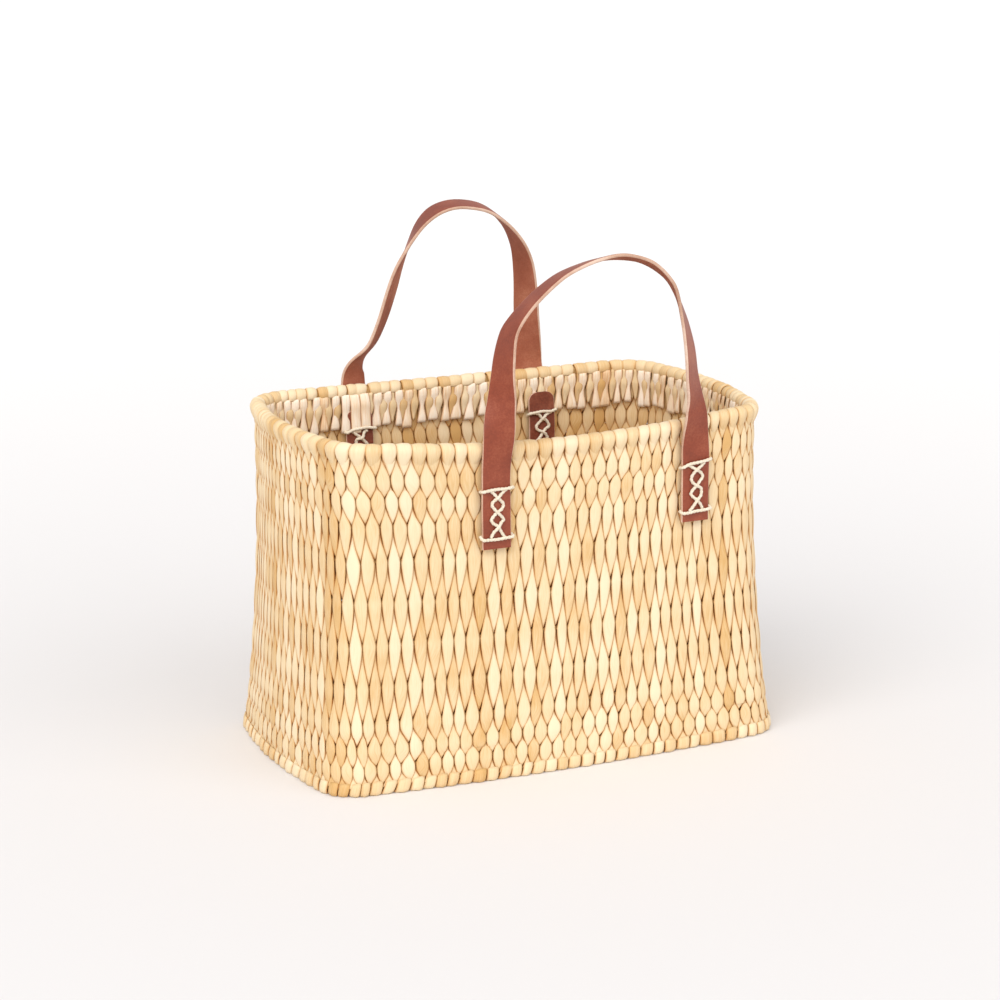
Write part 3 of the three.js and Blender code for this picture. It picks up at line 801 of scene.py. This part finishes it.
def leather_material(name, dark, main, light, grain_scale, roughness, relief_depth):
    """Vegetable-tanned leather: cloudy dye and fine pores."""
    material = new_material(name)
    place = add_node(material, "TexCoord")
    cloud = add_node(material, "TexNoise", Scale=26.0, Detail=5.0, Roughness=0.62,
                     links={"Vector": place.outputs["Object"]})
    pores = add_node(material, "TexVoronoi", {"feature": "F1"}, Scale=grain_scale,
                     links={"Vector": place.outputs["Object"]})
    fibre = add_node(material, "TexNoise", Scale=grain_scale * 0.7, Detail=4.0, Roughness=0.7,
                     links={"Vector": place.outputs["Object"]})
    mixed = add_node(material, "Math", {"operation": "MULTIPLY_ADD"},
                     links={0: fibre.outputs["Fac"], 1: 0.45, 2: cloud.outputs["Fac"]})
    tone = add_node(material, "ValToRGB", links={"Fac": mixed.outputs[0]})
    tone.color_ramp.elements[0].position = 0.46
    tone.color_ramp.elements[0].color = linear(dark)
    tone.color_ramp.elements[1].position = 0.95
    tone.color_ramp.elements[1].color = linear(light)
    tone.color_ramp.elements.new(0.7).color = linear(main)
    height = add_node(material, "Math", {"operation": "ADD"}, links={
        0: pores.outputs["Distance"], 1: fibre.outputs["Fac"]})
    relief = add_node(material, "Bump", Strength=0.5, Distance=relief_depth,
                      links={"Height": height.outputs[0]})
    return finish_material(material, add_node(
        material, "BsdfPrincipled", Roughness=roughness, IOR=1.5, Specular_IOR_Level=0.4,
        links={"Base Color": tone.outputs["Color"], "Normal": relief.outputs["Normal"]}))


grain_leather = leather_material(
    "vegetable_tanned_leather_grain", "#73321F", "#8B4029", "#A45A3E", 900.0, 0.45, 0.12 * MM)
flesh_leather = leather_material(
    "vegetable_tanned_leather_flesh", "#85432C", "#9E5A42", "#B8785C", 1400.0, 0.85, 0.3 * MM)
edge_leather = leather_material(
    "raw_cut_leather_edge", "#A87C66", "#C9A48E", "#E2C9B8", 1800.0, 0.9, 0.25 * MM)


def long_wall_point(side, x, height, inset):
    """A point of the front or back wall, from its place along X."""
    half_length, _, corner = outline_size(height / HEIGHT)
    point = outline_point(x / (half_length - corner), side, side * math.pi / 2, height, inset)
    point[..., 0] = x
    return point


STRAP_SIDES = 20
END_RING = 0.03


def strip_frames(middles, rolls, side):
    """The width way and the outward way at each point of a line, rolled about it by an angle."""
    along = np.gradient(middles, axis=0)
    along /= np.linalg.norm(along, axis=1, keepdims=True)
    level = np.stack([-side * along[:, 2], np.zeros(len(along)), side * along[:, 0]], axis=-1)
    width_way = level * np.cos(rolls)[:, None] + np.array([0, -1, 0]) * np.sin(rolls)[:, None]
    width_way -= along * np.sum(width_way * along, axis=1, keepdims=True)
    width_way /= np.linalg.norm(width_way, axis=1, keepdims=True)
    return width_way, np.cross(width_way, along)


def make_strip(name, middles, frames, halves, thickness, leathers):
    """A strip of leather along a line of middle points, of given frames and half widths."""
    # A ring just short of each cut end keeps the shading of the long faces even up to it.
    last = len(middles) - 1
    place = np.concatenate([[0, END_RING], np.arange(1, last), [last - END_RING, last]])
    middles, width_way, outward, halves = (
        np.stack([np.interp(place, np.arange(last + 1), column) for column in table.T], axis=-1)
        for table in (middles, *frames, halves[:, None]))
    stations = len(middles)
    shape = bmesh.new()
    shape.from_mesh(spindle_template(STRAP_SIDES, stations - 1))
    mesh = bpy.data.meshes.new(name)
    shape.to_mesh(mesh)
    shape.free()
    x, y, z = mesh_points(mesh).T
    station = np.round(z * (stations - 1)).astype(int)
    # A circle pressed to the strip's section: flat faces and small round edges.
    angle = np.arctan2(y, x)
    across = squared(np.cos(angle), 0.22)
    through = squared(np.sin(angle), 0.4)
    point = (middles[station]
             + width_way[station] * halves[station] * across[:, None]
             + outward[station] * (through * thickness / 2)[:, None])
    mesh.vertices.foreach_set("co", point.ravel())
    for material in leathers:
        mesh.materials.append(material)
    for face in mesh.polygons:
        middle_across = sum(across[v] for v in face.vertices) / len(face.vertices)
        middle_through = sum(through[v] for v in face.vertices) / len(face.vertices)
        if abs(middle_across) > 0.93:
            face.material_index = 2
        else:
            face.material_index = 0 if middle_through > 0 else 1
        # The two cut ends are flat.
        face.use_smooth = len(set(station[list(face.vertices)])) > 1
    shape = bmesh.new()
    shape.from_mesh(mesh)
    bmesh.ops.recalc_face_normals(shape, faces=shape.faces)
    shape.to_mesh(mesh)
    shape.free()
    piece = bpy.data.objects.new(name, mesh)
    bpy.context.scene.collection.objects.link(piece)
    return piece


def line_length(points):
    """How far each point of a line is along it."""
    return np.concatenate([[0], np.cumsum(np.linalg.norm(np.diff(points, axis=0), axis=1))])


def lift_off(rolls):
    """How far a rolled strap's middle stands off, so that its inner edge stays clear."""
    return STRAP_WIDTH / 2 * np.sin(np.abs(rolls))


PEEL_BEND = 18 * MM
STRAP_STEP = 1.6 * MM
STRAP_EASING = 4
# Where an arch stands off the wall it also leans along it, to the left of whoever faces it.
LEAN_ALONG = 0.47
pivots = {joint["name"]: joint["pos_m"] for joint in frame["joints"]}
for handle in HANDLES:
    label, side = handle["name"], handle["side"]
    peel_z = pivots[f"{label}_strap_peel"][2]
    fold_z = pivots[f"{label}_handle_fold"][2]
    seam_z = (peel_z + PEEL_BEND + fold_z) / 2
    strap_y = long_wall_point(side, np.array(handle["middle"]), RIM_CORD_LEVEL, STRAP_INSET)[1]
    shares = np.linspace(0, 1, 161)
    route = smooth_route(handle["route"], shares)
    loop_rolls = np.radians(route[:, 2])
    # The loop leans back over the basket, from standing off at the rim to none at its top.
    stand_off = np.where(shares < 0.5, lift_off(loop_rolls[:1]), lift_off(loop_rolls[-1:]))
    loop = np.stack([
        handle["middle"] + route[:, 0] * handle["spacing"] / 2,
        strap_y + side * stand_off * (1 - ease(route[:, 1], 0.0, 0.8)),
        fold_z + route[:, 1] * handle["rise"],
    ], axis=-1)
    loop[:, 0] += np.abs(loop[:, 1] - strap_y) * side * LEAN_ALONG
    legs = {}
    for word, end in (("left", 0), ("right", -1)):
        tab_low, tab_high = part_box(f"{label}_{word}_strap_tab")
        foot_x = (tab_low[0] + tab_high[0]) / 2
        z = np.linspace(tab_low[2], fold_z, 60)
        roll_start, roll_end = peel_z + 6 * MM, fold_z + 6 * MM
        leg_rolls = loop_rolls[end] * ease(z, roll_start, roll_end) / ease(
            fold_z, roll_start, roll_end)
        x = foot_x + (loop[end][0] - foot_x) * ease(z, peel_z - 2 * MM, fold_z)
        leg = long_wall_point(side, x, np.minimum(z, RIM_CORD_LEVEL), STRAP_INSET)
        leg[:, 1] += side * lift_off(leg_rolls)
        leg[:, 2] = z
        legs[word] = np.column_stack([leg, leg_rolls])
    # The whole strap from foot to foot, in even steps, eased wherever it is off the wall.
    line = np.concatenate([
        legs["left"][:-1], np.column_stack([loop, loop_rolls]), legs["right"][::-1][1:]])
    length = line_length(line[:, :3])
    even = np.linspace(0, length[-1], round(length[-1] / STRAP_STEP) + 1)
    line = np.stack([np.interp(even, length, column) for column in line.T], axis=-1)
    free = ease(line[:, 2:3], peel_z, peel_z + 12 * MM)
    for _ in range(STRAP_EASING):
        eased = (np.roll(line, 1, axis=0) + line * 2 + np.roll(line, -1, axis=0)) / 4
        line = line + (eased - line) * free
    middles, rolls = line[:, :3], line[:, 3]
    width_way, outward = strip_frames(middles, rolls, side)
    halves = STRAP_WIDTH / 2 * (1 + 0.01 * np.sin(even * 90) + 0.006 * np.sin(even * 233 + 1))
    first = int(np.argmax(middles[:, 2] > seam_z))
    last = len(even) - 1 - int(np.argmax(middles[::-1, 2] > seam_z))
    for word, part in (("left_strap_end", slice(0, first + 1)),
                       ("right_strap_end", slice(last, None)),
                       ("handle_strap", slice(first, last + 1))):
        strip = make_strip(f"{label}_{word}", middles[part], (width_way[part], outward[part]),
                           halves[part], STRAP_THICKNESS,
                           (grain_leather, flesh_leather, edge_leather))
        if word == "handle_strap":
            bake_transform(strip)
            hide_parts(f"{label}_handle_loop")
        else:
            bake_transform(strip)
            leg_name = word.replace("_strap_end", "")
            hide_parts(f"{label}_{leg_name}_strap_tab", f"{label}_{leg_name}_strap_riser")


# ---------------------------------------------------------------- inner patches
# Four scraps of older, darker leather with rounded corners. They back the stitches inside the
# wall, so that the thread can't cut the palm leaf.

PATCH_WIDTH = 22 * MM
PATCH_THICKNESS = 2 * MM
PATCH_CORNER = 7 * MM
worn_leather = leather_material(
    "worn_leather_patch", "#5E2A1B", "#7C3D2A", "#9C5B42", 700.0, 0.6, 0.25 * MM)
patch_inset = WALL_THICKNESS + 3.1 * MM
for name in [n for n in frame["nodes"] if n.endswith("inner_patch")]:
    patch_low, patch_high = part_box(name)
    side = -1 if name.startswith("front") else 1
    spread = np.sin(np.linspace(-0.5, 0.5, 41) * math.pi) / 2 + 0.5
    z = patch_low[2] + (patch_high[2] - patch_low[2]) * spread
    x = np.full(len(z), (patch_low[0] + patch_high[0]) / 2)
    middles = long_wall_point(side, x, z, patch_inset + 0.4 * MM * np.sin(z * 160))
    middles[:, 2] = z
    length = line_length(middles)
    cut_back = np.maximum(PATCH_CORNER - np.minimum(length, length[-1] - length), 0)
    halves = PATCH_WIDTH / 2 - PATCH_CORNER + np.sqrt(PATCH_CORNER ** 2 - cut_back ** 2)
    patch = make_strip(name.replace("inner_patch", "backing_patch"), middles,
                       strip_frames(middles, np.zeros(len(z)), side), halves, PATCH_THICKNESS,
                       (worn_leather, worn_leather, edge_leather))
    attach(patch, "basket")
    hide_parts(name)


# ---------------------------------------------------------------- stitching
# Two-ply cotton thread, waxed and off-white, pulled tight through strap, wall and patch by
# hand. A bar crosses the strap at the top and the bottom, with a chain of crosses between.

THREAD_RADIUS = 1.3 * MM
THREAD_LAY = 5.5 * MM
THREAD_SIDES = 10
THREAD_STEP = 0.7 * MM
TOP_STITCH = 217 * MM
# Across and down from the top bar's middle, in mm; the third number lifts a crossing.
TOP_BAR = ((-11.9, 1.8, -4), (-11.3, 0.5, 0), (-6, -0.3, 0.2), (0, -0.5, 0), (6, -0.9, 0.2),
           (11.2, -1.2, 0), (11.9, 0, -4))
CHAIN = ((-6.4, 0.2, 0), (-3.4, 2.2, 0.3), (0, 5, 0.4), (3.4, 7.9, 0.2), (4.5, 10.7, 0),
         (3.2, 13.6, 0.2), (0, 16.5, -0.2), (-3.2, 19.3, 0.2), (-4.4, 22, 0), (-3, 24.8, 0.2),
         (0, 27.4, 0.4), (3, 31.4, 0.3), (5.4, 35.4, 0))
LOW_BAR = ((-11.9, 34.2, -4), (-11.3, 36, 0), (-6, 36.2, 0.2), (0, 36, 0), (6, 35.6, 0.2),
           (11.2, 35.2, 0), (11.9, 34, -4))


def thread_material():
    """Waxed cotton: off-white, fuzzy and matt, its two plies lying aslant."""
    material = new_material("waxed_cotton_thread")
    place = add_node(material, "TexCoord")
    fuzz = add_node(material, "TexNoise", Scale=1500.0, Detail=3.0, Roughness=0.7,
                    links={"Vector": place.outputs["Object"]})
    tone = add_node(material, "ValToRGB", links={"Fac": fuzz.outputs["Fac"]})
    tone.color_ramp.elements[0].position = 0.38
    tone.color_ramp.elements[0].color = linear("#D3C2A6")
    tone.color_ramp.elements[1].position = 0.65
    tone.color_ramp.elements[1].color = linear("#F5EEE0")
    relief = add_node(material, "Bump", Strength=0.5, Distance=0.2 * MM,
                      links={"Height": fuzz.outputs["Fac"]})
    return finish_material(material, add_node(
        material, "BsdfPrincipled", Roughness=0.75,
        links={"Base Color": tone.outputs["Color"], "Normal": relief.outputs["Normal"]}))


def add_thread(shape, path):
    """Adds one tube of two twisted plies along a path of points to a bmesh."""
    stations = int(line_length(path)[-1] / THREAD_STEP)
    line = smooth_route(path, np.linspace(0, 1, stations + 1))
    along = np.gradient(line, axis=0)
    along /= np.linalg.norm(along, axis=1, keepdims=True)
    beside = np.cross(along, (0.0, 1.0, 0.0))
    beside /= np.linalg.norm(beside, axis=1, keepdims=True)
    above = np.cross(along, beside)
    length = line_length(line)
    first = len(shape.verts)
    shape.from_mesh(spindle_template(THREAD_SIDES, stations))
    shape.verts.ensure_lookup_table()
    for vertex in shape.verts[first:]:
        station = round(vertex.co.z * stations)
        angle = math.atan2(vertex.co.y, vertex.co.x)
        twist = 2 * math.pi * length[station] / THREAD_LAY
        radius = THREAD_RADIUS * (0.86 + 0.16 * math.cos(2 * angle - twist * 2))
        vertex.co = (line[station] + beside[station] * radius * math.cos(angle)
                     + above[station] * radius * math.sin(angle))


waxed_thread = thread_material()
for name in [n for n in frame["nodes"] if n.endswith("stitching")]:
    tab_low, tab_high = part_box(name.replace("stitching", "strap_tab"))
    side = -1 if name.startswith("front") else 1
    middle_x = (tab_low[0] + tab_high[0]) / 2
    shape = bmesh.new()
    outer = STRAP_INSET - STRAP_THICKNESS / 2 - THREAD_RADIUS * 0.75
    inner = patch_inset + PATCH_THICKNESS / 2 + THREAD_RADIUS * 0.75
    for depth, out_way, mess in ((outer, -1, 0.5), (inner, 1, 1.2)):
        for pattern, mirror in ((CHAIN, 1), (CHAIN, -1), (TOP_BAR, 1), (LOW_BAR, 1)):
            across, down, lift = np.array(pattern).T
            across = across * mirror + chance.uniform(-mess, mess, len(across))
            down = down + chance.uniform(-mess, mess, len(down))
            lift = lift + np.where(mirror < 0, 0.9 * (np.abs(across) < 1.6), 0)
            if pattern is not CHAIN:
                lift = lift + 0.7
            height = TOP_STITCH - down * MM
            add_thread(shape, long_wall_point(
                side, middle_x + across * MM, height, depth + out_way * lift * MM))
    mesh = bpy.data.meshes.new(name)
    shape.to_mesh(mesh)
    shape.free()
    for face in mesh.polygons:
        face.use_smooth = True
    mesh.materials.append(waxed_thread)
    threads = bpy.data.objects.new(name.replace("stitching", "threads"), mesh)
    bpy.context.scene.collection.objects.link(threads)
    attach(threads, "basket")
    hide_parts(name)
